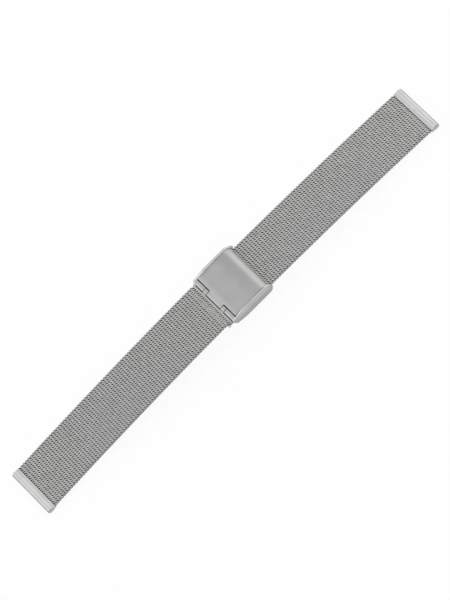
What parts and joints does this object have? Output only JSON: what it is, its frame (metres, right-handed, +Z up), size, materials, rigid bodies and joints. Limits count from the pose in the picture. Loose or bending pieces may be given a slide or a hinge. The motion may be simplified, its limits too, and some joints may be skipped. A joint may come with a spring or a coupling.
{
  "type": "milanese mesh band",
  "caption": "Woven steel watch band in two straps, joined by a folding cover clasp with hooks, a sliding strap and a lock lever.",
  "frame": {"origin": "centre of the band's box, at the surface that the two lug ends stand on", "axes": "+X along the band towards the end of the long strap, +Y across the band towards the side with the strap's far edge, +Z up, away from the wrist"},
  "size_m": [0.1802, 0.0228, 0.0074],
  "materials": {
    "mesh_steel": "woven wire, satin",
    "clasp_steel": "brushed",
    "end_steel": "polished steel",
    "pin_steel": "plain"
  },
  "bodies": {
    "clasp_frame": {"clasp_frame": "clasp_steel", "hinge_pin": "pin_steel", "lever_pin": "pin_steel"},
    "clasp_cover": {"clasp_cover": "clasp_steel"},
    "lock_lever": {"lock_lever": "clasp_steel"},
    "hook_end": {"hook_plate": "clasp_steel", "hook_mesh": "mesh_steel"},
    "clamped_end": {"clamped_mesh": "mesh_steel", "tail_cap": "end_steel"},
    "short_mesh_01": {"short_mesh_01": "mesh_steel"},
    "short_mesh_02": {"short_mesh_02": "mesh_steel"},
    "short_mesh_03": {"short_mesh_03": "mesh_steel"},
    "short_mesh_04": {"short_mesh_04": "mesh_steel"},
    "short_mesh_05": {"short_mesh_05": "mesh_steel"},
    "short_mesh_06": {"short_mesh_06": "mesh_steel"},
    "short_mesh_07": {"short_mesh_07": "mesh_steel"},
    "short_mesh_08": {"short_mesh_08": "mesh_steel"},
    "short_mesh_09": {"short_mesh_09": "mesh_steel"},
    "short_mesh_10": {"short_mesh_10": "mesh_steel"},
    "short_mesh_11": {"short_mesh_11": "mesh_steel"},
    "short_mesh_12": {"short_mesh_12": "mesh_steel"},
    "short_mesh_13": {"short_mesh_13": "mesh_steel"},
    "short_mesh_14": {"short_mesh_14": "mesh_steel"},
    "short_lug": {"short_lug_mesh": "mesh_steel", "short_lug_collar": "end_steel", "short_lug_tube": "end_steel"},
    "long_mesh_01": {"long_mesh_01": "mesh_steel"},
    "long_mesh_02": {"long_mesh_02": "mesh_steel"},
    "long_mesh_03": {"long_mesh_03": "mesh_steel"},
    "long_mesh_04": {"long_mesh_04": "mesh_steel"},
    "long_mesh_05": {"long_mesh_05": "mesh_steel"},
    "long_mesh_06": {"long_mesh_06": "mesh_steel"},
    "long_mesh_07": {"long_mesh_07": "mesh_steel"},
    "long_mesh_08": {"long_mesh_08": "mesh_steel"},
    "long_mesh_09": {"long_mesh_09": "mesh_steel"},
    "long_mesh_10": {"long_mesh_10": "mesh_steel"},
    "long_mesh_11": {"long_mesh_11": "mesh_steel"},
    "long_mesh_12": {"long_mesh_12": "mesh_steel"},
    "long_lug": {"long_lug_mesh": "mesh_steel", "long_lug_collar": "end_steel", "long_lug_tube": "end_steel"}
  },
  "joints": [
    {"name": "cover_hinge", "type": "hinge", "parent": "clasp_frame", "child": "clasp_cover", "pos_m": [-0.00268, 0, 0.00542], "axis": [0, 1, 0], "range_deg": [-100, 0]},
    {"name": "lever_hinge", "type": "hinge", "parent": "clasp_frame", "child": "lock_lever", "pos_m": [0.01032, 0, 0.0031], "axis": [0, -1, 0], "range_deg": [0, 60]},
    {"name": "strap_slide", "type": "hinge", "parent": "clasp_frame", "child": "clamped_end", "pos_m": [0.00884, 0, -1.09593], "axis": [0, -1, 0], "range_deg": [0, 2.08]},
    {"name": "hook_swivel", "type": "hinge", "parent": "clasp_frame", "child": "hook_end", "pos_m": [-0.00268, 0, 0.00542], "axis": [0, 1, 0], "range_deg": [-3, 45]},
    {"name": "short_flex_01", "type": "hinge", "parent": "hook_end", "child": "short_mesh_01", "pos_m": [-0.00664, 0, 0.00539], "axis": [0, 1, 0], "range_deg": [-10, 8]},
    {"name": "short_flex_02", "type": "hinge", "parent": "short_mesh_01", "child": "short_mesh_02", "pos_m": [-0.0123, 0, 0.0053], "axis": [0, 1, 0], "range_deg": [-10, 8]},
    {"name": "short_flex_03", "type": "hinge", "parent": "short_mesh_02", "child": "short_mesh_03", "pos_m": [-0.01795, 0, 0.00517], "axis": [0, 1, 0], "range_deg": [-10, 8]},
    {"name": "short_flex_04", "type": "hinge", "parent": "short_mesh_03", "child": "short_mesh_04", "pos_m": [-0.02361, 0, 0.00502], "axis": [0, 1, 0], "range_deg": [-10, 8]},
    {"name": "short_flex_05", "type": "hinge", "parent": "short_mesh_04", "child": "short_mesh_05", "pos_m": [-0.02926, 0, 0.00484], "axis": [0, 1, 0], "range_deg": [-10, 8]},
    {"name": "short_flex_06", "type": "hinge", "parent": "short_mesh_05", "child": "short_mesh_06", "pos_m": [-0.03492, 0, 0.00463], "axis": [0, 1, 0], "range_deg": [-10, 8]},
    {"name": "short_flex_07", "type": "hinge", "parent": "short_mesh_06", "child": "short_mesh_07", "pos_m": [-0.04057, 0, 0.00439], "axis": [0, 1, 0], "range_deg": [-10, 8]},
    {"name": "short_flex_08", "type": "hinge", "parent": "short_mesh_07", "child": "short_mesh_08", "pos_m": [-0.04622, 0, 0.00412], "axis": [0, 1, 0], "range_deg": [-10, 8]},
    {"name": "short_flex_09", "type": "hinge", "parent": "short_mesh_08", "child": "short_mesh_09", "pos_m": [-0.05187, 0, 0.00383], "axis": [0, 1, 0], "range_deg": [-10, 8]},
    {"name": "short_flex_10", "type": "hinge", "parent": "short_mesh_09", "child": "short_mesh_10", "pos_m": [-0.05752, 0, 0.0035], "axis": [0, 1, 0], "range_deg": [-10, 8]},
    {"name": "short_flex_11", "type": "hinge", "parent": "short_mesh_10", "child": "short_mesh_11", "pos_m": [-0.06316, 0, 0.00314], "axis": [0, 1, 0], "range_deg": [-10, 8]},
    {"name": "short_flex_12", "type": "hinge", "parent": "short_mesh_11", "child": "short_mesh_12", "pos_m": [-0.06881, 0, 0.00276], "axis": [0, 1, 0], "range_deg": [-10, 8]},
    {"name": "short_flex_13", "type": "hinge", "parent": "short_mesh_12", "child": "short_mesh_13", "pos_m": [-0.07445, 0, 0.00235], "axis": [0, 1, 0], "range_deg": [-10, 8]},
    {"name": "short_flex_14", "type": "hinge", "parent": "short_mesh_13", "child": "short_mesh_14", "pos_m": [-0.08009, 0, 0.0019], "axis": [0, 1, 0], "range_deg": [-10, 8]},
    {"name": "short_flex_15", "type": "hinge", "parent": "short_mesh_14", "child": "short_lug", "pos_m": [-0.08573, 0, 0.00143], "axis": [0, 1, 0], "range_deg": [-10, 8]},
    {"name": "long_flex_01", "type": "hinge", "parent": "clamped_end", "child": "long_mesh_01", "pos_m": [0.01686, 0, 0.00405], "axis": [0, -1, 0], "range_deg": [-10, 0]},
    {"name": "long_flex_02", "type": "hinge", "parent": "long_mesh_01", "child": "long_mesh_02", "pos_m": [0.02251, 0, 0.00399], "axis": [0, -1, 0], "range_deg": [-10, 0]},
    {"name": "long_flex_03", "type": "hinge", "parent": "long_mesh_02", "child": "long_mesh_03", "pos_m": [0.02816, 0, 0.00391], "axis": [0, -1, 0], "range_deg": [-10, 0]},
    {"name": "long_flex_04", "type": "hinge", "parent": "long_mesh_03", "child": "long_mesh_04", "pos_m": [0.03381, 0, 0.00379], "axis": [0, -1, 0], "range_deg": [-10, 0]},
    {"name": "long_flex_05", "type": "hinge", "parent": "long_mesh_04", "child": "long_mesh_05", "pos_m": [0.03946, 0, 0.00365], "axis": [0, -1, 0], "range_deg": [-10, 0]},
    {"name": "long_flex_06", "type": "hinge", "parent": "long_mesh_05", "child": "long_mesh_06", "pos_m": [0.0451, 0, 0.00348], "axis": [0, -1, 0], "range_deg": [-10, 0]},
    {"name": "long_flex_07", "type": "hinge", "parent": "long_mesh_06", "child": "long_mesh_07", "pos_m": [0.05075, 0, 0.00328], "axis": [0, -1, 0], "range_deg": [-10, 0]},
    {"name": "long_flex_08", "type": "hinge", "parent": "long_mesh_07", "child": "long_mesh_08", "pos_m": [0.05639, 0, 0.00305], "axis": [0, -1, 0], "range_deg": [-10, 8]},
    {"name": "long_flex_09", "type": "hinge", "parent": "long_mesh_08", "child": "long_mesh_09", "pos_m": [0.06204, 0, 0.00279], "axis": [0, -1, 0], "range_deg": [-10, 8]},
    {"name": "long_flex_10", "type": "hinge", "parent": "long_mesh_09", "child": "long_mesh_10", "pos_m": [0.06768, 0, 0.0025], "axis": [0, -1, 0], "range_deg": [-10, 8]},
    {"name": "long_flex_11", "type": "hinge", "parent": "long_mesh_10", "child": "long_mesh_11", "pos_m": [0.07332, 0, 0.00218], "axis": [0, -1, 0], "range_deg": [-10, 8]},
    {"name": "long_flex_12", "type": "hinge", "parent": "long_mesh_11", "child": "long_mesh_12", "pos_m": [0.07896, 0, 0.00184], "axis": [0, -1, 0], "range_deg": [-10, 8]},
    {"name": "long_flex_13", "type": "hinge", "parent": "long_mesh_12", "child": "long_lug", "pos_m": [0.0846, 0, 0.00146], "axis": [0, -1, 0], "range_deg": [-10, 8]}
  ]
}
